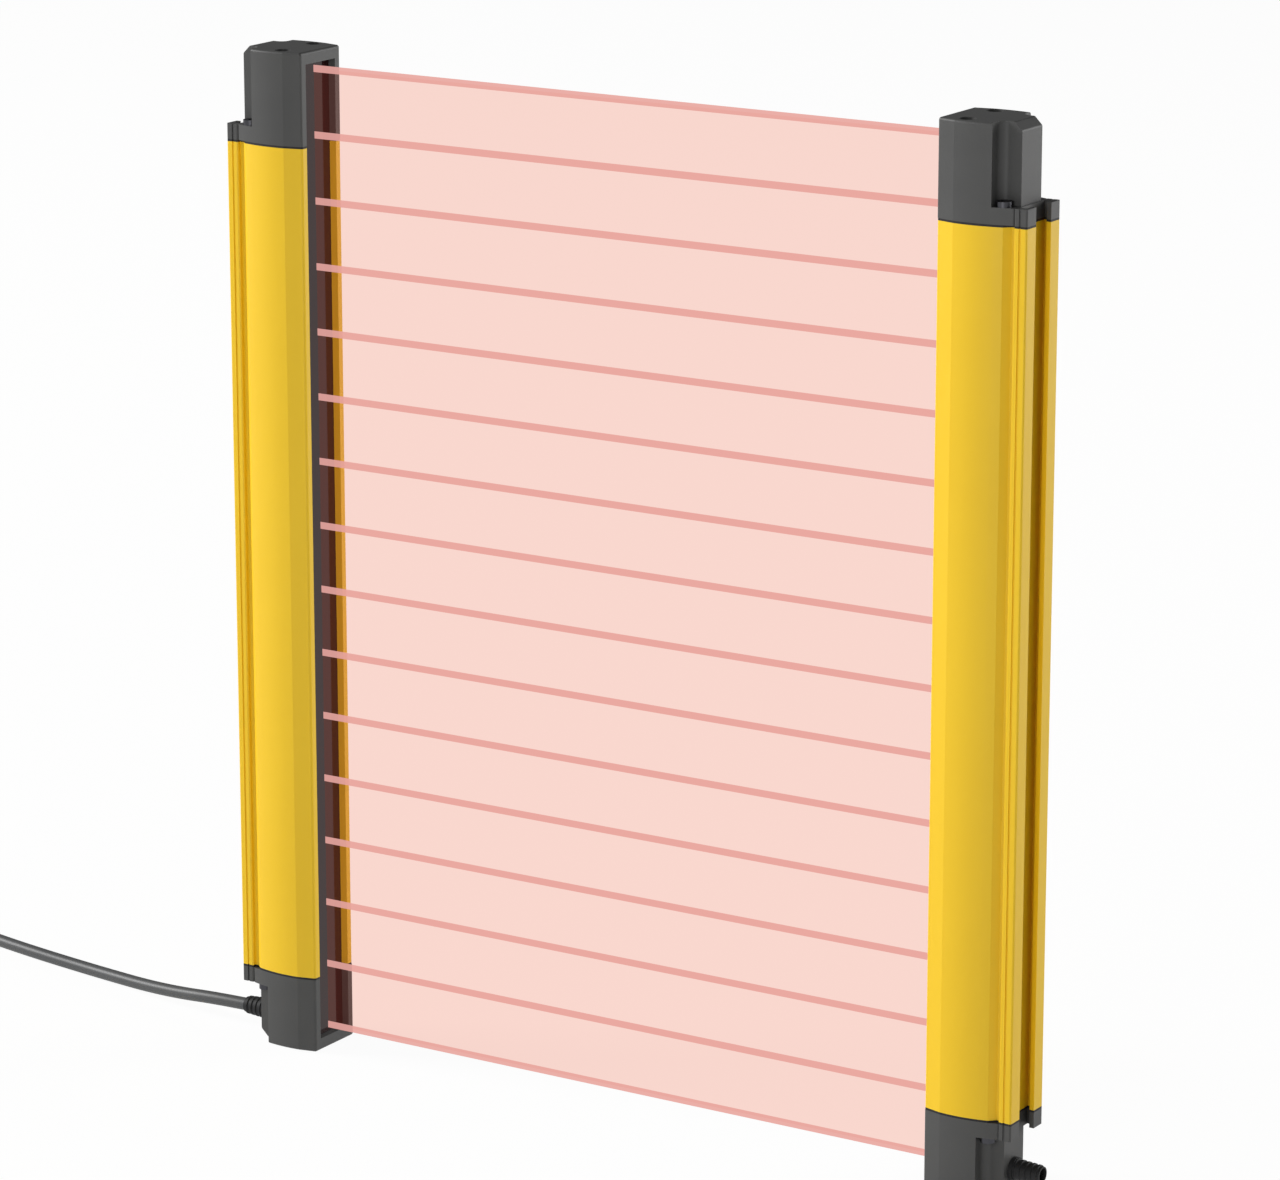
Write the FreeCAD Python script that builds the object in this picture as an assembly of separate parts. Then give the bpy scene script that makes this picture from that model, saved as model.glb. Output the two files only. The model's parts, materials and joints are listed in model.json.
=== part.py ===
"""Safety light curtain: an emitter column and a receiver column that face each other.

Frame: +X from the emitter to the receiver along the beams, +Y away from the near side, +Z up.
The origin is the middle of the box round both columns, in the middle of the guarded field.
Each column is drawn once, in its own frame: x is the depth from its front face to its rails,
y is sideways and z is up from its mid-height. All sizes are in millimetres.
"""
import FreeCAD, Part
import math
import os

Vector = FreeCAD.Vector
UP = Vector(0, 0, 1)

# ---- the whole device
beam_count = 16
beam_pitch = 25.0
beam_to_end = 7.5
front_gap = 270.0
column_height = (beam_count - 1) * beam_pitch + 2 * beam_to_end
top_cap_height = 35.2
bottom_cap_height = 29.2
gasket_thickness = 0.8

# ---- the housing's section
depth = 35.0
front_width = 25.0
belly_width = 29.0
shoulder_width = 25.4
neck_width = 21.0
rail_width = 24.0
rail_thickness = 5.1
neck_gap = 1.5
shoulder_slope = 2.4
housing_wall = 1.9
front_side_step = 0.4
corner_radius = 1.1
front_facet_depth = 7.2
front_facet_step = 0.3
belly_depth = 15.0
rail_corner = 0.7
slot_opening = 11.0
slot_undercut = 18.0
slot_lip = 1.8
slot_depth = 4.4
slot_floor = 2.0
rail_groove = 0.4
rail_groove_width = 0.8
rail_groove_depth = 2.3
shoulder_inside = 1.4
neck_inside = 1.2
port_web = 2.0

# ---- the window and its grooves
window_recess = 3.0
window_thickness = 2.0
window_width = 22.0
window_end_wall = 4.8
window_chamfer = 0.25
window_lip = 1.0
rib_thickness = 3.2
seal_thickness = 0.85
seal_width = 1.4
glass_clearance = 0.1

# ---- screw ports, screws and their channels in the caps
screw_radius = 1.5
port_radius = 1.52
port_wall = 1.0
front_port_x = 10.0
port_from_side = 2.6
rear_port_from_rear = 10.0
rear_port_from_side = 2.4
head_radius = 2.8
head_height = 2.0
thread_depth = 10.0
key_width = 2.0
key_depth = 1.2
channel_radius = 3.1
hole_clearance = 0.2

# ---- the caps
hood_inset = 5.0
hood_taper = 1.0
flange_height = 6.0
cap_wall = 1.5
end_wall = 2.6
hood_edge = 1.0
hood_bevel = 3.0
passage_inset = 0.6

# ---- the optics and the boards
chassis_clearance = 0.25
lens_gap = 0.55
lens_flange = 1.2
lens_half = 4.5
lens_height = 1.5
lenses_in_strip = 8
strip_gap = 0.05
tunnel_depth = 11.4
tunnel_rear_half = 1.7
tunnel_front_half = 4.2
chassis_web = 1.6
board_thickness = 1.6
board_edge_gap = 1.2
board_end_gap = 2.0
board_play = 0.1
guide_grip = 0.6
board_tongue_width = 9.4
guide_thickness = 0.9
guide_reach = 1.9
lamp_size = 2.6
lamp_height = 1.4
lamp_lens_half = 0.8
lamp_lens_height = 0.7
control_gap = 2.6
control_thickness = 1.2
control_width = 14.8
control_length = 206.0
control_foot = 15.0
chip_side = 10.0
chip_height = 1.4
driver_count = 4
driver_first = 28.0
driver_pitch = 12.0
driver_length = 6.0
driver_gap = 1.2
coil_radius = 3.2
coil_height = 2.2
coil_count = 3
coil_first = 30.0
coil_pitch = 14.0
header_length = 16.0
header_width = 5.0
pin_size = 0.64
pin_pitch = 2.0
pin_count = 7
light_pipe_width = 1.5
light_pipe_pitch = 9.0
light_pipe_count = 5
light_bar_thickness = 1.2
light_bar_gap = 0.3
light_bar_end = 3.0
first_light_pipe = 14.0

# ---- the cable, its gland and its plug
cable_diameter = 5.0
cable_height = 8.5
gland_radius = 4.6
gland_collar = 1.6
gland_length = 12.0
gland_neck_radius = 3.9
gland_tip_radius = 3.1
gland_root_radius = 3.6
cable_clearance = 0.05
clamp_length = 3.6
clamp_reach = 3.8
clamp_side_gap = 0.1
clamp_rear_gap = 0.2
cable_start_inset = 6.0
ribbon_width = 4.6
ribbon_thickness = 0.6
ribbon_grip = 2.5
ribbon_clearance = 0.02
socket_height = 6.0
socket_width = 6.4
socket_gap = 0.2
plug_boot_length = 12.0
plug_boot_radius = 3.6
plug_boot_taper = 1.2
plug_body_radius = 6.4
plug_body_length = 12.0
plug_bevel = 0.8
plug_bevel_length = 1.2
plug_neck_radius = 4.6
plug_neck_length = 6.2
plug_flare_radius = 5.1
plug_flare_length = 1.2
nut_radius = 7.4
nut_grip_length = 9.0
nut_thread_radius = 6.0
nut_thread_length = 8.0
nut_bevel = 0.6
thread_bevel = 0.4
thread_bevel_length = 0.5
nut_running_fit = 0.08
nut_flare_gap = 0.15
nut_end_play = 0.15
nut_grooves = 8
nut_groove_radius = 1.1
nut_groove_outset = 0.44
insert_radius = 4.3
insert_length = 3.2
insert_clearance = 0.03
insert_key = 0.7
contact_radius = 0.5
contact_reach = 6.0
contact_circle = 2.75
contact_count = 5
ring_section = 0.7

# ---- how far a cut runs past what it cuts, how near an edge counts as on a line, how far an
# arc of the cable's route eats into the shorter run beside it
overrun = 1.0
nearness = 0.1
arc_share = 0.45

# ---- worked out from the sizes above
arc_bulge = 1 - math.sqrt(0.5)
half_height = column_height / 2
board_width = belly_width - 2 * housing_wall - 2 * board_edge_gap
housing_top = half_height - top_cap_height - gasket_thickness
housing_foot = -half_height + bottom_cap_height + gasket_thickness
neck_end = depth - rail_thickness
neck_start = neck_end - neck_gap
shoulder_x = neck_start - shoulder_slope
slot_floor_x = depth - slot_depth
cavity_rear = slot_floor_x - slot_floor
hood_rear = depth - hood_inset
window_half = window_width / 2
window_rear = window_recess + window_thickness
groove_half = window_half + glass_clearance
groove_rear = window_rear + seal_thickness
sight_half = front_width / 2 - rib_thickness
window_end = half_height - window_end_wall
front_port_y = front_width / 2 - port_from_side
rear_port_x = depth - rear_port_from_rear
rear_port_y = shoulder_width / 2 - rear_port_from_side
ports = [
    (x, side * y)
    for x, y in ((front_port_x, front_port_y), (rear_port_x, rear_port_y))
    for side in (1, -1)
]
lens_seat = groove_rear + window_lip + lens_gap
chassis_front = lens_seat + lens_flange
board_front = chassis_front + tunnel_depth
board_rear = board_front + board_thickness
control_front = board_rear + control_gap
control_rear = control_front + control_thickness
chassis_half = front_port_y - channel_radius - cap_wall - chassis_clearance
chassis_end = half_height - end_wall - chassis_clearance
beam_heights = [-half_height + beam_to_end + i * beam_pitch for i in range(beam_count)]
control_low = housing_foot + control_foot
cable_level = -half_height + cable_height
cable_radius = cable_diameter / 2
lay_level = -half_height + cable_radius
plug_level = -half_height + nut_radius
exit_x = hood_rear + gland_length
cable_exit = -(front_gap / 2 + exit_x)
plug_neck_start = plug_boot_length + plug_body_length
plug_flare_start = plug_neck_start + plug_neck_length
plug_flare_end = plug_flare_start + plug_flare_length

# The cable's route: out of the emitter's gland, down to the level the columns stand on, and
# away behind the emitter to the plug. The corners of the route, chosen by hand.
cable_route = [
    (cable_exit + gland_length + cable_start_inset, 0.0, cable_level),
    (cable_exit - 9.0, 0.0, cable_level),
    (cable_exit - 45.0, 5.0, lay_level + 2.0),
    (cable_exit - 85.0, 14.0, lay_level),
    (cable_exit - 129.0, 21.0, lay_level),
    (cable_exit - 169.0, 30.0, lay_level),
    (cable_exit - 203.0, 34.0, plug_level),
    (cable_exit - 237.0, 29.0, plug_level),
]


# ---- helpers
def face_of(start, *steps):
    """A flat face at z = 0. A step is the next corner, or (a point on the arc, its end)."""
    here = Vector(start[0], start[1], 0)
    first = here
    edges = []
    for step in steps:
        if isinstance(step[0], tuple):
            middle, end = (Vector(p[0], p[1], 0) for p in step)
            edges.append(Part.Arc(here, middle, end).toShape())
        else:
            end = Vector(step[0], step[1], 0)
            edges.append(Part.LineSegment(here, end).toShape())
        here = end
    if here.distanceToPoint(first) > 1e-6:
        edges.append(Part.LineSegment(here, first).toShape())
    return Part.Face(Part.Wire(edges))


def raised(face, low, high):
    """The face as a prism from one height to another."""
    prism = face.extrude(UP * (high - low))
    prism.translate(UP * low)
    return prism


def mirrored(half):
    """A half shape that lies on y >= 0 made whole."""
    other = half.mirror(Vector(0, 0, 0), Vector(0, 1, 0))
    return half.fuse(other).removeSplitter()


def box(x0, x1, y0, y1, z0, z1):
    """A box between the given planes."""
    return Part.makeBox(x1 - x0, y1 - y0, z1 - z0, Vector(x0, y0, z0))


def rod(radius, length, at, along):
    """A round bar."""
    return Part.makeCylinder(radius, length, Vector(*at), Vector(*along))


def joined(shapes):
    """Several touching shapes made one."""
    first, *others = shapes
    return first.fuse(others).removeSplitter()


def group(shapes):
    """Separate pieces kept in one node."""
    return Part.makeCompound(shapes)


def turned_outline(points, at, along):
    """A body of revolution from (distance along the axis, radius) corners."""
    wire = Part.makePolygon([Vector(r, 0, s) for s, r in points + points[:1]])
    body = Part.Face(wire).revolve(Vector(0, 0, 0), UP, 360)
    body.Placement = FreeCAD.Placement(Vector(*at), FreeCAD.Rotation(UP, Vector(*along)))
    return body


# ---- the housing's section, which the caps and gaskets share
def facet_end():
    """Where the flat facet beside the front turns into the bellied side."""
    return (front_facet_depth, belly_width / 2 - front_facet_step)


def belly_point():
    """The widest point of the side."""
    return (belly_depth, belly_width / 2)


def hood_block(height):
    """The hood as one block: facets, bellied sides, rounded uprights, a rounded and bevelled end."""
    front = front_width / 2
    rear = shoulder_width / 2 - hood_taper
    half = face_of((0, 0), (0, front), facet_end(), (belly_point(), (hood_rear, rear)), (hood_rear, 0))
    block = mirrored(raised(half, 0, height))
    tall = [e for e in block.Edges if e.BoundBox.ZLength > height - nearness]
    uprights = [e for e in tall if abs(e.BoundBox.YMin) > nearness]
    corners = [e for e in uprights if e.BoundBox.XMin < nearness or e.BoundBox.XMax > hood_rear - nearness]
    block = block.makeFillet(corner_radius, corners)
    low = Vector(hood_rear + overrun, -belly_width, height - hood_bevel - overrun)
    high = Vector(hood_rear - hood_bevel - overrun, -belly_width, height + overrun)
    outer = Vector(hood_rear + overrun, -belly_width, height + overrun)
    wedge = Part.Face(Part.makePolygon([low, high, outer, low]))
    block = block.cut(wedge.extrude(Vector(0, 2 * belly_width, 0)))
    rim = [e for e in block.Edges if e.BoundBox.ZMin > height - hood_bevel - nearness]
    return block.makeFillet(hood_edge, rim)


def housing_outline():
    """Half of the whole section: belly, shoulder, neck and rail."""
    front = front_width / 2
    rail = rail_width / 2
    corner = rail_corner
    bulge = corner * arc_bulge
    front_bulge = corner_radius * arc_bulge
    return face_of(
        (0, 0),
        (0, front - corner_radius),
        ((front_bulge, front - front_bulge), (corner_radius, front)),
        facet_end(),
        (belly_point(), (shoulder_x, shoulder_width / 2)),
        (neck_start, neck_width / 2),
        (neck_end, neck_width / 2),
        (neck_end, rail - corner),
        ((neck_end + bulge, rail - bulge), (neck_end + corner, rail)),
        (depth - corner, rail),
        ((depth - bulge, rail - bulge), (depth, rail - corner)),
        (depth, 0),
    )


def slot_outline():
    """Half of the T-slot between the rails."""
    return face_of(
        (depth + overrun, 0),
        (depth + overrun, slot_opening / 2),
        (depth - slot_lip, slot_opening / 2),
        (depth - slot_lip, slot_undercut / 2),
        (slot_floor_x, slot_undercut / 2),
        (slot_floor_x, 0),
    )


def sight_outline():
    """Half of the open front and of the groove that holds the window and its seals."""
    return face_of(
        (-overrun, 0),
        (-overrun, sight_half),
        (window_recess - glass_clearance, sight_half),
        (window_recess - glass_clearance, groove_half),
        (groove_rear, groove_half),
        (groove_rear, 0),
    )


def throat_outline():
    """Half of the opening between the two lips behind the window."""
    return face_of(
        (window_rear, 0),
        (window_rear, sight_half),
        (groove_rear + window_lip, sight_half),
        (groove_rear + window_lip, 0),
    )


def rail_grooves(low, high):
    """The fine line along each rail."""
    middle = neck_end + rail_groove_depth
    half = rail_groove_width / 2
    edge = rail_width / 2
    return mirrored(box(middle - half, middle + half, edge - rail_groove, edge + overrun, low, high))


def full_section(low, high):
    """The whole outline with its T-slot, as the housing and the flanges have it."""
    body = mirrored(raised(housing_outline(), low, high))
    body = body.cut(mirrored(raised(slot_outline(), low - overrun, high + overrun)))
    return body.cut(rail_grooves(low - overrun, high + overrun))


# ---- the column's pieces, each in the column's own frame
def housing():
    """The extruded profile: one hollow with screw ports, window grooves and board guides."""
    low, high = housing_foot, housing_top
    reach_low, reach_high = low - overrun, high + overrun
    shell = full_section(low, high)
    belly = belly_width / 2 - housing_wall
    hollow = face_of(
        (groove_rear + window_lip, 0),
        (groove_rear + window_lip, belly - front_facet_step - front_side_step),
        ((belly_depth, belly), (shoulder_x - shoulder_inside, shoulder_width / 2 - housing_wall)),
        (neck_start - neck_inside, neck_width / 2 - housing_wall),
        (cavity_rear, neck_width / 2 - housing_wall),
        (cavity_rear, 0),
    )
    shell = shell.cut(mirrored(raised(hollow, reach_low, reach_high)))
    blank = mirrored(raised(housing_outline(), low, high))
    bosses = [rod(port_radius + port_wall, high - low, (x, y, low), (0, 0, 1)) for x, y in ports]
    webs = []
    guides = []
    for side in (1, -1):
        root = side * (belly_width / 2 - housing_wall / 2)
        edges = sorted((side * front_port_y, root))
        webs.append(box(front_port_x - port_web / 2, front_port_x + port_web / 2, *edges, low, high))
        edges = sorted((side * (board_width / 2 - guide_reach + guide_grip), root))
        for x in (board_front - board_play - guide_thickness, board_rear + board_play):
            guides.append(box(x, x + guide_thickness, *edges, low, high))
    shell = joined([shell] + [piece.common(blank) for piece in bosses + webs + guides])
    shell = shell.cut(mirrored(raised(sight_outline(), reach_low, reach_high)))
    shell = shell.cut(mirrored(raised(throat_outline(), reach_low, reach_high)))
    bores = [rod(port_radius, reach_high - reach_low, (x, y, reach_low), (0, 0, 1)) for x, y in ports]
    return shell.cut(bores).removeSplitter()


def front_window():
    """The long dark pane in front of the optics."""
    pane = box(window_recess, window_rear, -window_half, window_half, -window_end, window_end)
    upright = [e for e in pane.Edges if e.BoundBox.ZLength > 2 * window_end - nearness]
    return pane.makeChamfer(window_chamfer, upright)


def window_seals():
    """A strip of rubber behind each long edge of the window."""
    strips = []
    for side in (1, -1):
        edges = sorted((side * (window_half - seal_width), side * window_half))
        strips.append(box(window_rear, groove_rear, *edges, -window_end, window_end))
    return group(strips)


def tapered_tunnel(height):
    """One square light tunnel, wide behind its lens and narrow round its lamp."""
    wide = tunnel_front_half
    thin = tunnel_rear_half
    tunnel = Part.makeWedge(-wide, 0, -wide, -thin, -thin, wide, tunnel_depth, wide, thin, thin)
    tunnel.Placement = FreeCAD.Placement(Vector(chassis_front, 0, height), FreeCAD.Rotation(UP, -90))
    return tunnel


def optics_chassis():
    """The moulded block with one light tunnel for each beam, opened out between the tunnels."""
    body = box(chassis_front, board_front, -chassis_half, chassis_half, -chassis_end, chassis_end)
    cuts = [tapered_tunnel(height) for height in beam_heights]
    half = beam_pitch / 2 - lens_half - chassis_web
    wide = chassis_half + overrun
    front = chassis_front + chassis_web
    rear = board_front - chassis_web
    for height in beam_heights[:-1]:
        middle = height + beam_pitch / 2
        cuts.append(box(front, rear, -wide, wide, middle - half, middle + half))
    return body.cut(cuts)


def lens_strips():
    """Clear strips, each with its row of square domed lenses, end to end before the chassis."""
    half = chassis_half
    ball = (2 * lens_half**2 + lens_height**2) / (2 * lens_height)
    front = lens_seat - lens_height
    strips = []
    for first in range(0, beam_count, lenses_in_strip):
        mine = beam_heights[first : first + lenses_in_strip]
        low = max(mine[0] - beam_pitch / 2 + strip_gap, -chassis_end)
        high = min(mine[-1] + beam_pitch / 2 - strip_gap, chassis_end)
        strip = [box(lens_seat, chassis_front, -half, half, low, high)]
        for height in mine:
            block = box(front, lens_seat, -lens_half, lens_half, height - lens_half, height + lens_half)
            strip.append(block.common(Part.makeSphere(ball, Vector(front + ball, 0, height))))
        strips.append(joined(strip))
    return group(strips)


def optical_board():
    """The long board behind the chassis, narrowed to a tongue where it enters each cap."""
    tongue = board_tongue_width / 2
    board = box(board_front, board_rear, -tongue, tongue, -chassis_end, chassis_end)
    wide = board_width / 2
    low, high = housing_foot + board_end_gap, housing_top - board_end_gap
    body = box(board_front, board_rear, -wide, wide, low, high)
    return joined([board, body])


def lamps(with_lens):
    """The sixteen emitting or sensing parts on the board, one in each tunnel."""
    pieces = []
    half = lamp_size / 2
    front = board_front - lamp_height
    for height in beam_heights:
        lamp = box(front, board_front, -half, half, height - half, height + half)
        if with_lens:
            small = lamp_lens_half
            lens = box(front - lamp_lens_height, front, -small, small, height - small, height + small)
            lamp = joined([lamp, lens])
        pieces.append(lamp)
    return group(pieces)


def control_board():
    """The shorter board that runs the column, behind the optical board."""
    half = control_width / 2
    return box(control_front, control_rear, -half, half, control_low, control_low + control_length)


def board_components():
    """Processor, output switches and filter coils on the back of the control board."""
    rear = control_rear
    half = chip_side / 2
    middle = control_low + control_length / 2
    parts = [box(rear, rear + chip_height, -half, half, middle - half, middle + half)]
    inner = driver_gap / 2
    for step in range(driver_count):
        low = control_low + driver_first + driver_pitch * step
        parts.append(box(rear, rear + chip_height, -half, -inner, low, low + driver_length))
        parts.append(box(rear, rear + chip_height, inner, half, low, low + driver_length))
    for step in range(coil_count):
        height = middle + coil_first + coil_pitch * step
        parts.append(rod(coil_radius, coil_height, (rear, 0, height), (1, 0, 0)))
    return group(parts)


def pin_row(front, rear):
    """The header's square pins between two depths, in a row about the control board's middle."""
    middle = control_low + control_length / 2
    grip = pin_size / 2
    heights = [middle + (i - (pin_count - 1) / 2) * pin_pitch for i in range(pin_count)]
    return [box(front, rear, -grip, grip, z - grip, z + grip) for z in heights]


def board_header():
    """The row of pins that joins the two boards, in its own insulator."""
    low = control_low + control_length / 2 - header_length / 2
    half = header_width / 2
    block = box(board_rear, control_front, -half, half, low, low + header_length)
    return block.cut(pin_row(board_rear - overrun, control_front + overrun))


def header_pins():
    """The pins themselves, held in the insulator between the boards."""
    return group(pin_row(board_rear, control_front))


def indicator_light_guide():
    """A clear bar with one light pipe for each indicator, beside the chassis."""
    near = chassis_half + light_bar_gap
    far = near + light_pipe_width
    heights = [housing_foot + first_light_pipe + i * light_pipe_pitch for i in range(light_pipe_count)]
    low, high = heights[0] - light_bar_end, heights[-1] + light_bar_end
    bar = box(lens_seat, lens_seat + light_bar_thickness, near, far, low, high)
    half = light_pipe_width / 2
    pipes = [box(lens_seat, board_front, near, far, z - half, z + half) for z in heights]
    return joined([bar] + pipes)


def gasket(low):
    """The flat gasket between the housing and a cap."""
    high = low + gasket_thickness
    reach_low, reach_high = low - overrun, high + overrun
    sheet = full_section(low, high).cut(inner_passage(reach_low, reach_high))
    sheet = sheet.cut(mirrored(raised(sight_outline(), reach_low, reach_high)))
    sheet = sheet.cut(mirrored(raised(throat_outline(), reach_low, reach_high)))
    radius = screw_radius + hole_clearance
    holes = [rod(radius, reach_high - reach_low, (x, y, reach_low), (0, 0, 1)) for x, y in ports]
    return sheet.cut(holes)


def inner_passage(low, high):
    """What a cap, its flange and its gasket leave open for the optics and the boards."""
    front_half = front_port_y - channel_radius - cap_wall
    rear_half = rear_port_y - channel_radius - cap_wall
    middle_half = belly_width / 2 - cap_wall - passage_inset
    front_stop = front_port_x + channel_radius + cap_wall
    rear_stop = rear_port_x - channel_radius - cap_wall
    passage = face_of(
        (groove_rear, 0),
        (groove_rear, front_half),
        (front_stop, front_half),
        (front_stop, middle_half),
        (rear_stop, middle_half),
        (rear_stop, rear_half),
        (hood_rear - cap_wall, rear_half),
        (hood_rear - cap_wall, 0),
    )
    return mirrored(raised(passage, low, high))


def cap(end):
    """A moulded cap standing on z = 0, hood upwards: flange, hood, screw wells, window groove.

    The front screws sink in round wells. The rear ones stand in notches that take the hood's
    rear corners away down to the flange.
    """
    body = joined([hood_block(end), full_section(0, flange_height)])
    cuts = [inner_passage(-overrun, end - end_wall)]
    cuts.append(mirrored(raised(sight_outline(), -overrun, end - window_end_wall + glass_clearance)))
    for x, y in ports:
        cuts.append(rod(channel_radius, end, (x, y, flange_height), (0, 0, 1)))
        through = flange_height + 2 * overrun
        cuts.append(rod(screw_radius + hole_clearance, through, (x, y, -overrun), (0, 0, 1)))
    behind, above = hood_rear + overrun, end + overrun
    for side in (1, -1):
        outward = sorted((side * rear_port_y, side * belly_width))
        cuts.append(box(rear_port_x - channel_radius, behind, *outward, flange_height, above))
        outward = sorted((side * (rear_port_y - channel_radius), side * belly_width))
        cuts.append(box(rear_port_x, behind, *outward, flange_height, above))
    return body.cut(cuts).removeSplitter()


def screws():
    """Four socket-head screws for a cap whose flange stands on z = 0."""
    pieces = []
    for x, y in ports:
        length = flange_height + gasket_thickness + thread_depth
        shank = rod(screw_radius, length, (x, y, flange_height - length), (0, 0, 1))
        head = rod(head_radius, head_height, (x, y, flange_height), (0, 0, 1))
        across = key_width / math.sqrt(3)
        corners = [Vector(x + across * math.cos(a), y + across * math.sin(a), 0) for a in hexagon_angles()]
        key = Part.Face(Part.makePolygon(corners + corners[:1])).extrude(UP * (key_depth + overrun))
        key.translate(UP * (flange_height + head_height - key_depth))
        pieces.append(head.fuse(shank).removeSplitter().cut(key))
    return group(pieces)


def hexagon_angles():
    """The six corners' directions of a socket."""
    return [math.radians(60 * i) for i in range(6)]


def gland():
    """The rubber sleeve in the bottom cap's rear wall: root, collar and tapered tail."""
    wall = hood_rear - cap_wall
    outline = [
        (0, cable_radius + cable_clearance),
        (0, gland_root_radius),
        (cap_wall, gland_root_radius),
        (cap_wall, gland_radius),
        (cap_wall + gland_collar, gland_radius),
        (cap_wall + gland_collar, gland_neck_radius),
        (cap_wall + gland_length, gland_tip_radius),
        (cap_wall + gland_length, cable_radius + cable_clearance),
    ]
    return turned_outline(outline, (wall, 0, cable_level), (1, 0, 0))


def gland_hole():
    """The round hole in the bottom cap's rear wall."""
    start = hood_rear - cap_wall - overrun
    return rod(gland_root_radius, cap_wall + 2 * overrun, (start, 0, cable_level), (1, 0, 0))


def cable_clamp():
    """The saddle in the bottom cap that grips the cable's end, held between the screw channels."""
    half = rear_port_y - channel_radius - cap_wall - clamp_side_gap
    rear = hood_rear - cap_wall - clamp_rear_gap
    floor = -half_height + end_wall
    block = box(rear - clamp_length, rear, -half, half, floor, cable_level + clamp_reach)
    start = rear - clamp_length - overrun
    length = clamp_length + 2 * overrun
    return block.cut(rod(cable_radius + cable_clearance, length, (start, 0, cable_level), (1, 0, 0)))


def lead_socket():
    """The connector at the foot of the control board, where the cable's ribbon plugs in."""
    half = socket_width / 2
    low = control_low
    block = box(board_rear + socket_gap, control_front, -half, half, low, low + socket_height)
    return block.cut(ribbon_run(low - overrun, low + ribbon_grip, ribbon_clearance))


def ribbon_x():
    """How deep the ribbon runs, in the gap between the two boards."""
    return (board_rear + socket_gap + control_front) / 2


def ribbon_run(low, high, spare):
    """The ribbon's straight run, or with some to spare the slot that takes it."""
    half = ribbon_width / 2 + spare
    thin = ribbon_thickness / 2 + spare
    return box(ribbon_x() - thin, ribbon_x() + thin, -half, half, low, high)


def lead_ribbon():
    """The cable's conductors as a flat ribbon, turned up from its cut end into the socket."""
    thin = ribbon_thickness / 2
    start_x = hood_rear - cable_start_inset
    bend = start_x - ribbon_x()
    low = cable_level + bend
    outer = bend + thin
    inner = bend - thin
    slant = math.sqrt(0.5)
    arc = Part.Wire(
        [
            Part.Arc(
                Vector(start_x, 0, low - outer),
                Vector(start_x - outer * slant, 0, low - outer * slant),
                Vector(start_x - outer, 0, low),
            ).toShape(),
            Part.LineSegment(Vector(start_x - outer, 0, low), Vector(start_x - inner, 0, low)).toShape(),
            Part.Arc(
                Vector(start_x - inner, 0, low),
                Vector(start_x - inner * slant, 0, low - inner * slant),
                Vector(start_x, 0, low - inner),
            ).toShape(),
            Part.LineSegment(Vector(start_x, 0, low - inner), Vector(start_x, 0, low - outer)).toShape(),
        ]
    )
    corner = Part.Face(arc).extrude(Vector(0, ribbon_width, 0))
    corner.translate(Vector(0, -ribbon_width / 2, 0))
    return joined([corner, ribbon_run(low, control_low + ribbon_grip, 0)])


# ---- the cable and its plug, in the device's own frame
def rounded_route(points):
    """Straight runs joined by tangent arcs as large as the two runs beside each corner allow."""
    corners = [Vector(*p) for p in points]
    here = corners[0]
    edges = []
    radii = []
    for before, corner, after in zip(corners, corners[1:], corners[2:]):
        into = (corner - before).normalize()
        out = (after - corner).normalize()
        turn = into.getAngle(out)
        cut = arc_share * min((corner - before).Length, (after - corner).Length)
        radii.append(cut / math.tan(turn / 2))
        start = corner - into * cut
        end = corner + out * cut
        inward = (out - into).normalize()
        middle = corner + inward * (radii[-1] / math.cos(turn / 2) - radii[-1])
        edges.append(Part.LineSegment(here, start).toShape())
        edges.append(Part.Arc(start, middle, end).toShape())
        here = end
    edges.append(Part.LineSegment(here, corners[-1]).toShape())
    return Part.Wire(edges), radii


def cable():
    """The round cable from inside the emitter's bottom cap to the plug."""
    path, radii = rounded_route(cable_route)
    start = Vector(*cable_route[0])
    heading = Vector(*cable_route[1]) - start
    ring = Part.Wire(Part.Circle(start, heading, cable_radius).toShape())
    tube = path.makePipeShell([ring], True, False)
    expected = math.pi * cable_radius**2 * path.Length
    print("cable: bend radii", [round(r, 1) for r in radii])
    print(f"cable: length {path.Length:.1f}, volume {tube.Volume:.1f} against {expected:.1f}")
    return tube


def plug_axis():
    """Where the cable enters the plug, and the plug's direction."""
    end = Vector(*cable_route[-1])
    return end, (end - Vector(*cable_route[-2])).normalize()


def on_plug(distance):
    """A point on the plug's axis."""
    start, along = plug_axis()
    return start + along * distance


def plug_body():
    """The moulded plug: tapered tail, grip body, and a neck on which the coupling nut turns."""
    start, along = plug_axis()
    outline = [
        (0, 0),
        (0, plug_boot_radius),
        (plug_boot_length, plug_boot_radius + plug_boot_taper),
        (plug_boot_length, plug_body_radius - plug_bevel),
        (plug_boot_length + plug_bevel_length, plug_body_radius),
        (plug_neck_start, plug_body_radius),
        (plug_neck_start, plug_neck_radius),
        (plug_flare_start, plug_neck_radius),
        (plug_flare_start, plug_flare_radius),
        (plug_flare_end, plug_flare_radius),
        (plug_flare_end, insert_radius),
        (plug_flare_start, insert_radius),
        (plug_flare_start, 0),
    ]
    return turned_outline(outline, start, along)


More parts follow.
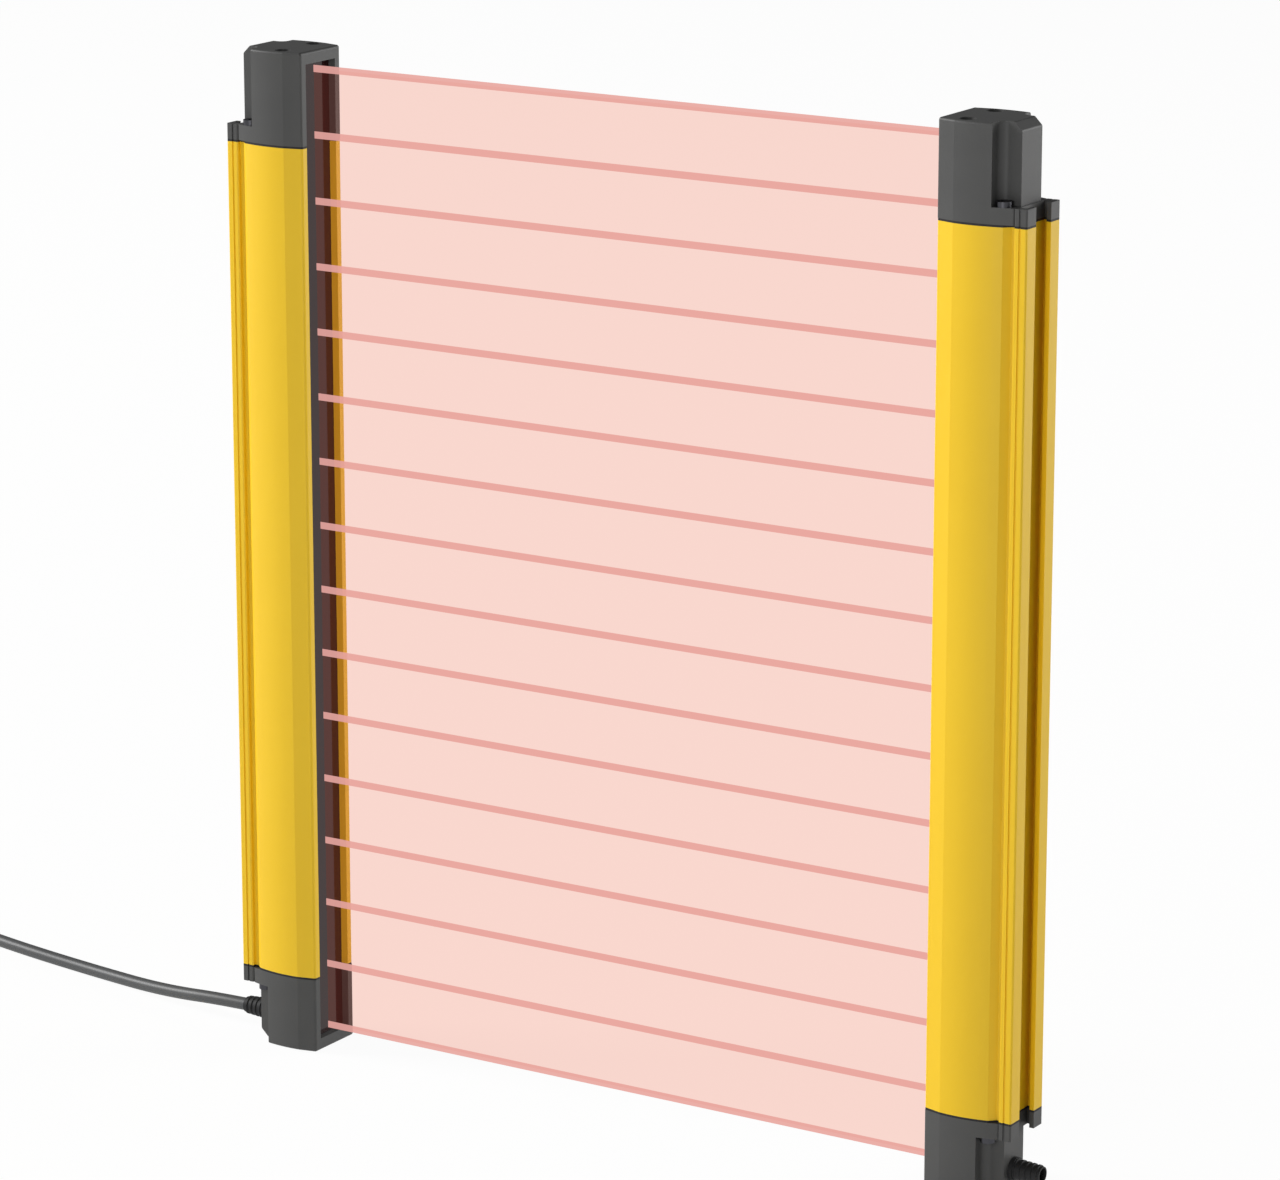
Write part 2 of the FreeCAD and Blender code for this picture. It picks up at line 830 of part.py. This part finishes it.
def coupling_nut():
    """The nut that turns on the plug's neck: a fluted grip and a threaded sleeve round the pins."""
    start, along = plug_axis()
    grip_start = plug_neck_start + nut_end_play
    grip_end = grip_start + nut_grip_length
    collar_end = plug_flare_start - nut_end_play
    tip = grip_end + nut_thread_length
    bore = plug_neck_radius + nut_running_fit
    wide_bore = plug_flare_radius + nut_flare_gap
    outline = [
        (grip_start, bore),
        (grip_start, nut_radius - nut_bevel),
        (grip_start + nut_bevel, nut_radius),
        (grip_end - nut_bevel, nut_radius),
        (grip_end, nut_radius - nut_bevel),
        (grip_end, nut_thread_radius),
        (tip - thread_bevel_length, nut_thread_radius),
        (tip, nut_thread_radius - thread_bevel),
        (tip, wide_bore),
        (collar_end, wide_bore),
        (collar_end, bore),
    ]
    nut = turned_outline(outline, start, along)
    across = along.cross(UP).normalize()
    flutes = []
    foot = on_plug(grip_start - nut_end_play)
    length = nut_grip_length + nut_end_play + overrun
    for step in range(nut_grooves):
        angle = 2 * math.pi * (step + 0.5) / nut_grooves
        outward = across * math.cos(angle) + UP * math.sin(angle)
        offset = outward * (nut_radius + nut_groove_outset)
        flutes.append(Part.makeCylinder(nut_groove_radius, length, foot + offset, along))
    return nut.cut(flutes)


def plug_insert():
    """The disc that carries the pins, with its key notch, seated in the plug's mouth."""
    along = plug_axis()[1]
    radius = insert_radius - insert_clearance
    disc = Part.makeCylinder(radius, insert_length, on_plug(plug_flare_start), along)
    rim = on_plug(plug_flare_end) + UP * insert_radius
    notch = Part.makeCylinder(insert_key, insert_length, rim, along)
    return disc.cut(notch)


def plug_pins():
    """The contact pins that stand on the insert: one in the middle and the others round it."""
    along = plug_axis()[1]
    across = along.cross(UP).normalize()
    root = on_plug(plug_flare_start + insert_length)
    pins = [Part.makeCylinder(contact_radius, contact_reach, root, along)]
    for step in range(contact_count - 1):
        angle = 2 * math.pi * (step + 0.5) / (contact_count - 1)
        offset = (across * math.cos(angle) + UP * math.sin(angle)) * contact_circle
        pins.append(Part.makeCylinder(contact_radius, contact_reach, root + offset, along))
    return group(pins)


def plug_seal_ring():
    """The sealing ring round the insert, against the plug's mouth."""
    start, along = plug_axis()
    outer = insert_radius + ring_section
    outline = [
        (plug_flare_end, insert_radius),
        (plug_flare_end, outer),
        (plug_flare_end + ring_section, outer),
        (plug_flare_end + ring_section, insert_radius),
    ]
    return turned_outline(outline, start, along)


# ---- placing the pieces and writing them out
def in_place(shape, column):
    """A piece drawn in a column's own frame, put where that column stands."""
    placed = shape.copy()
    turn = 180 if column == "emitter" else 0
    side = -1 if column == "emitter" else 1
    placed.Placement = FreeCAD.Placement(
        Vector(side * front_gap / 2, 0, 0), FreeCAD.Rotation(UP, turn)
    ).multiply(placed.Placement)
    return placed


def on_top(shape):
    """A piece drawn on a flange at z = 0, put on top of the housing."""
    placed = shape.copy()
    placed.translate(UP * (half_height - top_cap_height))
    return placed


def at_foot(shape):
    """The same piece turned over and put under the housing."""
    placed = shape.copy()
    placed.rotate(Vector(0, 0, 0), Vector(1, 0, 0), 180)
    placed.translate(UP * (bottom_cap_height - half_height))
    return placed


def column_pieces(column):
    """Every piece of one column, by name, in the column's own frame."""
    sensors = "lamps" if column == "emitter" else "photodiodes"
    pieces = {
        "housing": housing(),
        "front_window": front_window(),
        "window_seals": window_seals(),
        "optics_chassis": optics_chassis(),
        "lens_strips": lens_strips(),
        "optical_board": optical_board(),
        sensors: lamps(column == "emitter"),
        "control_board": control_board(),
        "board_components": board_components(),
        "board_header": board_header(),
        "header_pins": header_pins(),
        "indicator_light_guide": indicator_light_guide(),
        "top_cap": on_top(cap(top_cap_height)),
        "bottom_cap": at_foot(cap(bottom_cap_height)).cut(gland_hole()),
        "top_gasket": gasket(housing_top),
        "bottom_gasket": gasket(housing_foot - gasket_thickness),
        "top_cap_screws": on_top(screws()),
        "bottom_cap_screws": at_foot(screws()),
        "cable_gland": gland(),
        "cable_clamp": cable_clamp(),
        "lead_socket": lead_socket(),
    }
    if column == "emitter":
        pieces["lead_ribbon"] = lead_ribbon()
    return pieces


def write(name, shape):
    """One node as a STEP file."""
    solids = shape.Solids
    body = solids[0] if len(solids) == 1 else Part.makeCompound(solids)
    body.exportStep(f"parts/{name}.step")
    print(f"{name}: {len(solids)} solid(s), valid {body.isValid()}, {body.Volume:.1f} mm3")


def main():
    os.makedirs("parts", exist_ok=True)
    for column in ("emitter", "receiver"):
        for name, shape in column_pieces(column).items():
            write(f"{column}_{name}", in_place(shape, column))
    write("cable", cable())
    write("plug_body", plug_body())
    write("plug_insert", plug_insert())
    write("plug_pins", plug_pins())
    write("plug_seal_ring", plug_seal_ring())
    write("plug_coupling_nut", coupling_nut())


main()
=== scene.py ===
"""Looks of the safety light curtain: two yellow columns with black caps, one lead with its plug."""
import bpy
import json
import math
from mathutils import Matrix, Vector


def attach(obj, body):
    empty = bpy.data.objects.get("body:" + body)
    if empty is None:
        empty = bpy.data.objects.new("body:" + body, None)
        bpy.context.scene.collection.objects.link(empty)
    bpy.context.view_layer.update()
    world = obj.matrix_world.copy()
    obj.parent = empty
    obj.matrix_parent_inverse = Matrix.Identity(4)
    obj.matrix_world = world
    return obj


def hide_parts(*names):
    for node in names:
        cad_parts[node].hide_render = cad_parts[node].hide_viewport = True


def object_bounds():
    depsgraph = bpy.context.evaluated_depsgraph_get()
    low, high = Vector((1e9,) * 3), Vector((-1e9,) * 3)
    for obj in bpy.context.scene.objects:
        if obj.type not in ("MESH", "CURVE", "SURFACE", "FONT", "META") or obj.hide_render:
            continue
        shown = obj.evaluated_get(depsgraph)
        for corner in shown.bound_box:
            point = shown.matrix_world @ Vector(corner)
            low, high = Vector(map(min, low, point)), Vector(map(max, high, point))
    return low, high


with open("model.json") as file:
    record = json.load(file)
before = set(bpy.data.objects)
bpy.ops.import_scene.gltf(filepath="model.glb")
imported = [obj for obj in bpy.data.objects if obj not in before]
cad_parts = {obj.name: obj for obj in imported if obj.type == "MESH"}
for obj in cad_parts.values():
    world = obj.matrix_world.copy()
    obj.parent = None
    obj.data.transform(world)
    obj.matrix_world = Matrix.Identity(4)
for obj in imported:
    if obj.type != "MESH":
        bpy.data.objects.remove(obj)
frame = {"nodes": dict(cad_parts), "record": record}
cad_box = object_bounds()
nodes = frame["nodes"]

MM = 0.001


# ---------------------------------------------------------------- colour and node helpers

def colour(hex_code):
    """An sRGB hex colour as the linear RGBA that shaders take."""
    channels = [int(hex_code[i:i + 2], 16) / 255 for i in (1, 3, 5)]
    linear = [c / 12.92 if c <= 0.04045 else ((c + 0.055) / 1.055) ** 2.4 for c in channels]
    return (*linear, 1.0)


def add_node(tree, kind, settings=None, values=None, links=None):
    """Adds one node: its own settings, then its input values, then what its inputs are linked to."""
    node = tree.nodes.new(kind)
    for name, value in (settings or {}).items():
        setattr(node, name, value)
    for name, value in (values or {}).items():
        node.inputs[name].default_value = value
    for name, source in (links or {}).items():
        tree.links.new(source, node.inputs[name])
    return node


def empty_material(name):
    """A material with only its output node."""
    material = bpy.data.materials.new(name)
    material.use_nodes = True
    material.node_tree.nodes.clear()
    output = material.node_tree.nodes.new("ShaderNodeOutputMaterial")
    return material, material.node_tree, output


def finish_node(material, node_name):
    """Gives a CAD node this material in every slot."""
    slots = nodes[node_name].data.materials
    slots.clear()
    slots.append(material)


# ---------------------------------------------------------------- materials

def yellow_powder_coat():
    """Extruded aluminium, powder coated in signal yellow: smooth, half gloss, with a faint
    orange peel about 1.5 mm across and very slight draw lines left by the die, 1.1 mm apart."""
    peel_per_metre = 650.0
    lines_per_metre = 900.0
    breaks_per_metre = 4.0
    clouds_per_metre = 18.0
    relief_depth = 0.00005
    material, tree, output = empty_material("yellow_powder_coat")
    place = add_node(tree, "ShaderNodeTexCoord")
    peel = add_node(tree, "ShaderNodeTexNoise",
                    values={"Scale": peel_per_metre, "Detail": 2.0, "Roughness": 0.5},
                    links={"Vector": place.outputs["Object"]})
    stretch = add_node(tree, "ShaderNodeMapping",
                       values={"Scale": (lines_per_metre, lines_per_metre, breaks_per_metre)},
                       links={"Vector": place.outputs["Object"]})
    draw_lines = add_node(tree, "ShaderNodeTexNoise", values={"Scale": 1.0, "Detail": 2.0},
                          links={"Vector": stretch.outputs["Vector"]})
    cloud = add_node(tree, "ShaderNodeTexNoise", values={"Scale": clouds_per_metre, "Detail": 3.0},
                     links={"Vector": place.outputs["Object"]})
    shade = add_node(tree, "ShaderNodeMix", settings={"data_type": "RGBA"},
                     values={"A": colour("#E8BC12"), "B": colour("#ECC21A")},
                     links={"Factor": cloud.outputs["Fac"]})
    rough = add_node(tree, "ShaderNodeMapRange", values={"To Min": 0.40, "To Max": 0.50},
                     links={"Value": draw_lines.outputs["Fac"]})
    relief = add_node(tree, "ShaderNodeBump", values={"Strength": 0.10, "Distance": relief_depth},
                      links={"Height": peel.outputs["Fac"]})
    lines = add_node(tree, "ShaderNodeBump", values={"Strength": 0.06, "Distance": relief_depth},
                     links={"Height": draw_lines.outputs["Fac"], "Normal": relief.outputs["Normal"]})
    surface = add_node(tree, "ShaderNodeBsdfPrincipled",
                       values={"IOR": 1.5, "Specular IOR Level": 0.4},
                       links={"Base Color": shade.outputs[2], "Roughness": rough.outputs["Result"],
                              "Normal": lines.outputs["Normal"]})
    tree.links.new(surface.outputs["BSDF"], output.inputs["Surface"])
    return material


def moulded(name, dark, light, roughness, grain_mm, relief_strength):
    """A moulded plastic or rubber: spark-eroded grain of the mould, slightly uneven tone. The
    grain is drawn coarser than the real one, so that it shows."""
    clouds_per_metre = 60.0
    roughness_spread = 0.06
    grain_depth = 0.0001
    material, tree, output = empty_material(name)
    place = add_node(tree, "ShaderNodeTexCoord")
    grain = add_node(tree, "ShaderNodeTexNoise",
                     values={"Scale": 1.0 / (grain_mm * MM), "Detail": 3.0},
                     links={"Vector": place.outputs["Object"]})
    cloud = add_node(tree, "ShaderNodeTexNoise", values={"Scale": clouds_per_metre, "Detail": 2.0},
                     links={"Vector": place.outputs["Object"]})
    tone = add_node(tree, "ShaderNodeMix", settings={"data_type": "RGBA"},
                    values={"A": colour(dark), "B": colour(light)},
                    links={"Factor": cloud.outputs["Fac"]})
    rough = add_node(tree, "ShaderNodeMapRange",
                     values={"To Min": roughness - roughness_spread,
                             "To Max": roughness + roughness_spread},
                     links={"Value": grain.outputs["Fac"]})
    relief = add_node(tree, "ShaderNodeBump",
                      values={"Strength": relief_strength, "Distance": grain_depth},
                      links={"Height": grain.outputs["Fac"]})
    surface = add_node(tree, "ShaderNodeBsdfPrincipled",
                       values={"IOR": 1.5, "Specular IOR Level": 0.3},
                       links={"Base Color": tone.outputs[2], "Roughness": rough.outputs["Result"],
                              "Normal": relief.outputs["Normal"]})
    tree.links.new(surface.outputs["BSDF"], output.inputs["Surface"])
    return material


def smoked_red_acrylic():
    """Cast acrylic dyed so dark a red that only infrared passes well: glossy and nearly black."""
    waves_per_metre = 30.0
    wave_depth = 0.0002
    material, tree, output = empty_material("smoked_red_acrylic")
    place = add_node(tree, "ShaderNodeTexCoord")
    wave = add_node(tree, "ShaderNodeTexNoise", values={"Scale": waves_per_metre, "Detail": 1.0},
                    links={"Vector": place.outputs["Object"]})
    tone = add_node(tree, "ShaderNodeMix", settings={"data_type": "RGBA"},
                    values={"A": colour("#240806"), "B": colour("#2E0B08")},
                    links={"Factor": wave.outputs["Fac"]})
    relief = add_node(tree, "ShaderNodeBump", values={"Strength": 0.02, "Distance": wave_depth},
                      links={"Height": wave.outputs["Fac"]})
    surface = add_node(tree, "ShaderNodeBsdfPrincipled",
                       values={"IOR": 1.49, "Roughness": 0.08, "Specular IOR Level": 0.35},
                       links={"Base Color": tone.outputs[2], "Normal": relief.outputs["Normal"]})
    tree.links.new(surface.outputs["BSDF"], output.inputs["Surface"])
    return material


def metal(name, hex_colour, roughness, scratch_mm):
    """A plated or blackened metal with fine turning or handling marks."""
    smoothest = roughness * 0.8
    roughest = roughness * 1.25
    material, tree, output = empty_material(name)
    place = add_node(tree, "ShaderNodeTexCoord")
    marks = add_node(tree, "ShaderNodeTexNoise",
                     values={"Scale": 1.0 / (scratch_mm * MM), "Detail": 4.0},
                     links={"Vector": place.outputs["Object"]})
    rough = add_node(tree, "ShaderNodeMapRange", values={"To Min": smoothest, "To Max": roughest},
                     links={"Value": marks.outputs["Fac"]})
    surface = add_node(tree, "ShaderNodeBsdfPrincipled",
                       values={"Base Color": colour(hex_colour), "Metallic": 1.0},
                       links={"Roughness": rough.outputs["Result"]})
    tree.links.new(surface.outputs["BSDF"], output.inputs["Surface"])
    return material


yellow = yellow_powder_coat()
cap_polyamide = moulded("black_polyamide", "#464646", "#4E4E4D", 0.48, 0.45, 0.25)
seal_rubber = moulded("black_rubber", "#1C1C1D", "#242425", 0.62, 0.6, 0.15)
window = smoked_red_acrylic()
optics_black = moulded("matt_black_polycarbonate", "#17171A", "#1D1D20", 0.6, 0.5, 0.2)
board_green = moulded("green_solder_mask", "#14522E", "#185C34", 0.3, 1.5, 0.05)
lens_acrylic = moulded("clear_lens_acrylic", "#B9C2C8", "#C4CCD2", 0.08, 3.0, 0.02)
lamp_epoxy = moulded("pale_lamp_epoxy", "#8C90A6", "#989CB2", 0.15, 3.0, 0.02)
filter_epoxy = moulded("daylight_filter_epoxy", "#201C22", "#28242A", 0.2, 3.0, 0.02)
chip_compound = moulded("chip_moulding_compound", "#222326", "#2A2B2E", 0.55, 0.3, 0.1)
nylon = moulded("natural_nylon", "#DEDCD4", "#E6E4DC", 0.45, 0.6, 0.1)
ribbon_pvc = moulded("grey_ribbon_pvc", "#8F9296", "#989B9F", 0.45, 0.6, 0.1)
cable_pvc = moulded("dark_grey_pvc", "#4A4B4C", "#545556", 0.45, 0.5, 0.12)
overmould = moulded("black_polyurethane", "#26272A", "#303134", 0.5, 0.5, 0.2)
black_steel = metal("black_oxide_steel", "#4A4A4E", 0.38, 0.4)
gold = metal("gold_plate", "#E3BE6A", 0.25, 0.4)
nickel = metal("nickel_plate", "#CFCBC2", 0.22, 0.5)

slot_finish = {
    "yellow_housing": yellow, "dark_window": window, "black_cap": cap_polyamide,
    "black_rubber": seal_rubber, "dark_screw": black_steel, "black_optics": optics_black,
    "clear_lens": lens_acrylic, "green_board": board_green, "lamp_resin": lamp_epoxy,
    "sensor_resin": filter_epoxy, "chip_resin": chip_compound, "gold_contact": gold,
    "white_socket": nylon, "ribbon_sheath": ribbon_pvc, "cable_sheath": cable_pvc,
    "plug_moulding": overmould, "plated_nut": nickel,
}
for entry in frame["record"]["subparts"]:
    finish_node(slot_finish[entry["material_slot"]], entry["node"])

# ---------------------------------------------------------------- the lead

cable_points = [
    (-0.159, 0.000, -0.1865), (-0.186, 0.000, -0.1865), (-0.222, 0.005, -0.1905),
    (-0.262, 0.014, -0.1925), (-0.306, 0.021, -0.1925), (-0.346, 0.030, -0.1925),
    (-0.380, 0.034, -0.1876), (-0.414, 0.029, -0.1876),
]
lead_line = bpy.data.curves.new("lead", "CURVE")
lead_line.dimensions = "3D"
lead_line.resolution_u = 24
lead_line.bevel_depth = 2.5 * MM
lead_line.bevel_resolution = 6
lead_line.use_fill_caps = True
run = lead_line.splines.new("NURBS")
run.points.add(len(cable_points) - 1)
for point, place in zip(run.points, cable_points):
    point.co = (*place, 1.0)
run.order_u = 3
run.use_endpoint_u = True
lead = bpy.data.objects.new("lead", lead_line)
bpy.context.scene.collection.objects.link(lead)
lead.data.materials.append(cable_pvc)
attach(lead, "light_curtain")
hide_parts("cable")

# ---------------------------------------------------------------- ribs of the cable glands

def deselect_all():
    """Operators act on all that is selected, so each new piece starts from nothing selected."""
    for each in bpy.context.selected_objects:
        each.select_set(False)


def gland_ribs(name, wall_x, outwards):
    """Five soft ribs round the tapered neck of a cable gland, as moulded so that it bends evenly.
    One loop goes out along the neck, over each rib, and comes back inside the rubber. Sizes are
    in millimetres, and steps holds how far out each ring of the loop is and its radius."""
    neck = 3.9
    taper = 0.8 / 12.0
    height = 0.38
    sunk = 0.20
    inside = 2.75
    half_foot = 0.75
    half_crest = 0.40
    rib_middles = (1.7, 3.9, 6.1, 8.3, 10.5)
    ring_sides = 40
    merge_distance = 0.00001
    smooth_below = math.radians(40)
    profile = ((-half_foot, -sunk), (-half_crest, height), (half_crest, height), (half_foot, -sunk))
    steps = []
    for middle in rib_middles:
        for along, proud in profile:
            steps.append((middle + along, neck - taper * (middle + along) + proud))
    steps += [(steps[-1][0], inside), (steps[0][0], inside)]
    level = -186.5 * MM
    deselect_all()
    start, radius = steps[0]
    bpy.ops.mesh.primitive_circle_add(vertices=ring_sides, radius=radius * MM, fill_type="NOTHING",
                                      location=(wall_x + outwards * start * MM, 0, level),
                                      rotation=(0, math.pi / 2, 0))
    ribs = bpy.context.object
    ribs.name = name
    bpy.ops.object.transform_apply(location=True, rotation=True, scale=True)
    bpy.ops.object.mode_set(mode="EDIT")
    bpy.ops.mesh.select_all(action="SELECT")
    for (before, old_radius), (after, new_radius) in zip(steps, steps[1:]):
        bpy.ops.mesh.extrude_region_move(
            TRANSFORM_OT_translate={"value": (outwards * (after - before) * MM, 0, 0)})
        grow = new_radius / old_radius
        bpy.ops.transform.resize(value=(1, grow, grow),
                                 center_override=(wall_x + outwards * after * MM, 0, level))
    bpy.ops.mesh.select_all(action="SELECT")
    bpy.ops.mesh.region_to_loop()
    bpy.ops.mesh.bridge_edge_loops()
    bpy.ops.mesh.select_all(action="SELECT")
    bpy.ops.mesh.remove_doubles(threshold=merge_distance)
    bpy.ops.mesh.normals_make_consistent(inside=False)
    bpy.ops.object.mode_set(mode="OBJECT")
    bpy.ops.object.shade_smooth_by_angle(angle=smooth_below)
    ribs.data.materials.append(seal_rubber)
    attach(ribs, "light_curtain")


gland_wall = 0.165
gland_ribs("emitter_gland_ribs", -gland_wall, -1)
gland_ribs("receiver_gland_ribs", gland_wall, 1)

# ---------------------------------------------------------------- floor

def white_for_eye(name, hex_colour, share):
    """A pale matt surface that the camera sees nearly white, and that still keeps its shadow."""
    material, tree, output = empty_material(name)
    path = add_node(tree, "ShaderNodeLightPath")
    seen = add_node(tree, "ShaderNodeMath", settings={"operation": "MAXIMUM"},
                    links={0: path.outputs["Is Camera Ray"], 1: path.outputs["Is Glossy Ray"]})
    seen = add_node(tree, "ShaderNodeMath", settings={"operation": "MAXIMUM"},
                    links={0: seen.outputs[0], 1: path.outputs["Is Transmission Ray"]})
    part = add_node(tree, "ShaderNodeMath", settings={"operation": "MULTIPLY"},
                    values={1: share}, links={0: seen.outputs[0]})
    matt = add_node(tree, "ShaderNodeBsdfDiffuse", values={"Color": colour(hex_colour)})
    bright = add_node(tree, "ShaderNodeEmission", values={"Color": (1, 1, 1, 1), "Strength": 1.0})
    mixed = add_node(tree, "ShaderNodeMixShader",
                     links={0: part.outputs[0], 1: matt.outputs[0], 2: bright.outputs[0]})
    tree.links.new(mixed.outputs[0], output.inputs["Surface"])
    return material


floor_size = 60.0
floor_drop = 0.0002
deselect_all()
bpy.ops.mesh.primitive_plane_add(size=floor_size, location=(0, 0, cad_box[0][2] - floor_drop))
floor = bpy.context.object
floor.name = "floor"
floor.data.materials.append(white_for_eye("floor_white", "#F2F2F0", 0.95))

# ---------------------------------------------------------------- guarded field and beams

def tinted_light(name, passed, added):
    """Light in the air: it tints what lies behind it and adds a little of its own."""
    material, tree, output = empty_material(name)
    through = add_node(tree, "ShaderNodeBsdfTransparent", values={"Color": (*passed, 1.0)})
    glow = add_node(tree, "ShaderNodeEmission", values={"Color": (*added, 1.0), "Strength": 1.0})
    both = add_node(tree, "ShaderNodeAddShader", links={0: through.outputs[0], 1: glow.outputs[0]})
    tree.links.new(both.outputs[0], output.inputs["Surface"])
    return material


def light_only(piece):
    """Seen by the camera alone: it throws no shadow and colours nothing."""
    piece.visible_shadow = False
    piece.visible_diffuse = False
    piece.visible_glossy = False
    piece.visible_transmission = False


field_half = 0.138
lowest_beam = -187.5
beam_pitch = 25.0
beam_count = 16
beam_half = 1.35 * MM
beam_front = -0.0002
beam_rows = [(lowest_beam + beam_pitch * i) * MM for i in range(beam_count)]


def upright_sheet(name, half_height, y, z, material):
    """A flat sheet of light across the field, facing the front."""
    deselect_all()
    bpy.ops.mesh.primitive_plane_add(size=2.0, location=(0, y, z), rotation=(math.pi / 2, 0, 0))
    sheet = bpy.context.object
    sheet.name = name
    sheet.scale = (field_half, half_height, 1.0)
    bpy.ops.object.transform_apply(location=True, rotation=True, scale=True)
    sheet.data.materials.append(material)
    light_only(sheet)


field_light = tinted_light("field_light", passed=(0.920, 0.680, 0.618), added=(0.040, 0.010, 0.008))
upright_sheet("guarded_field", -beam_rows[0], 0, 0, field_light)

beam_light = tinted_light("beam_light", passed=(0.16, 0.10, 0.09), added=(0.67, 0.33, 0.30))
for number, height in enumerate(beam_rows):
    upright_sheet(f"beam_{number + 1:02d}", beam_half, beam_front, height, beam_light)

# ---------------------------------------------------------------- light and camera

# The room lights the object weakly and looks white where the camera sees it.
world = bpy.data.worlds.new("studio")
bpy.context.scene.world = world
world.use_nodes = True
air = world.node_tree
air.nodes.clear()
ray = add_node(air, "ShaderNodeLightPath")
seen = add_node(air, "ShaderNodeMath", settings={"operation": "MAXIMUM"},
                links={0: ray.outputs["Is Camera Ray"], 1: ray.outputs["Is Transmission Ray"]})
level = add_node(air, "ShaderNodeMapRange", values={"To Min": 0.13, "To Max": 1.0},
                 links={"Value": seen.outputs[0]})
sky = add_node(air, "ShaderNodeBackground", values={"Color": (1, 1, 1, 1)},
               links={"Strength": level.outputs["Result"]})
add_node(air, "ShaderNodeOutputWorld", links={"Surface": sky.outputs[0]})


def soft_box(name, place, size, watts):
    """A square soft light that points at the middle of the field."""
    lamp = bpy.data.lights.new(name, "AREA")
    lamp.shape = "SQUARE"
    lamp.size = size
    lamp.energy = watts
    holder = bpy.data.objects.new(name, lamp)
    bpy.context.scene.collection.objects.link(holder)
    holder.location = place
    holder.rotation_euler = (-Vector(place)).to_track_quat("-Z", "Y").to_euler()


soft_box("key", place=(-4.15, -1.25, 2.1), size=1.8, watts=262.0)
soft_box("front", place=(0.35, -1.15, 0.3), size=0.4, watts=4.4)
soft_box("fill", place=(1.8, 2.2, 0.7), size=1.6, watts=50.0)

camera_data = bpy.data.cameras.new("camera")
camera_data.sensor_fit = "HORIZONTAL"
camera_data.sensor_width = 36.0
camera_data.lens = 149.6
camera_data.clip_end = 100.0
camera = bpy.data.objects.new("camera", camera_data)
bpy.context.scene.collection.objects.link(camera)
aim = Vector((0.0058, 0.0, 0.0068))
azimuth = math.radians(32.4)
elevation = math.radians(14.4)
distance = 1.95
camera.location = aim + distance * Vector((math.sin(azimuth) * math.cos(elevation),
                                           -math.cos(azimuth) * math.cos(elevation),
                                           math.sin(elevation)))
camera.rotation_euler = (aim - camera.location).to_track_quat("-Z", "Y").to_euler()
bpy.context.scene.camera = camera
bpy.context.scene.view_settings.view_transform = "Standard"
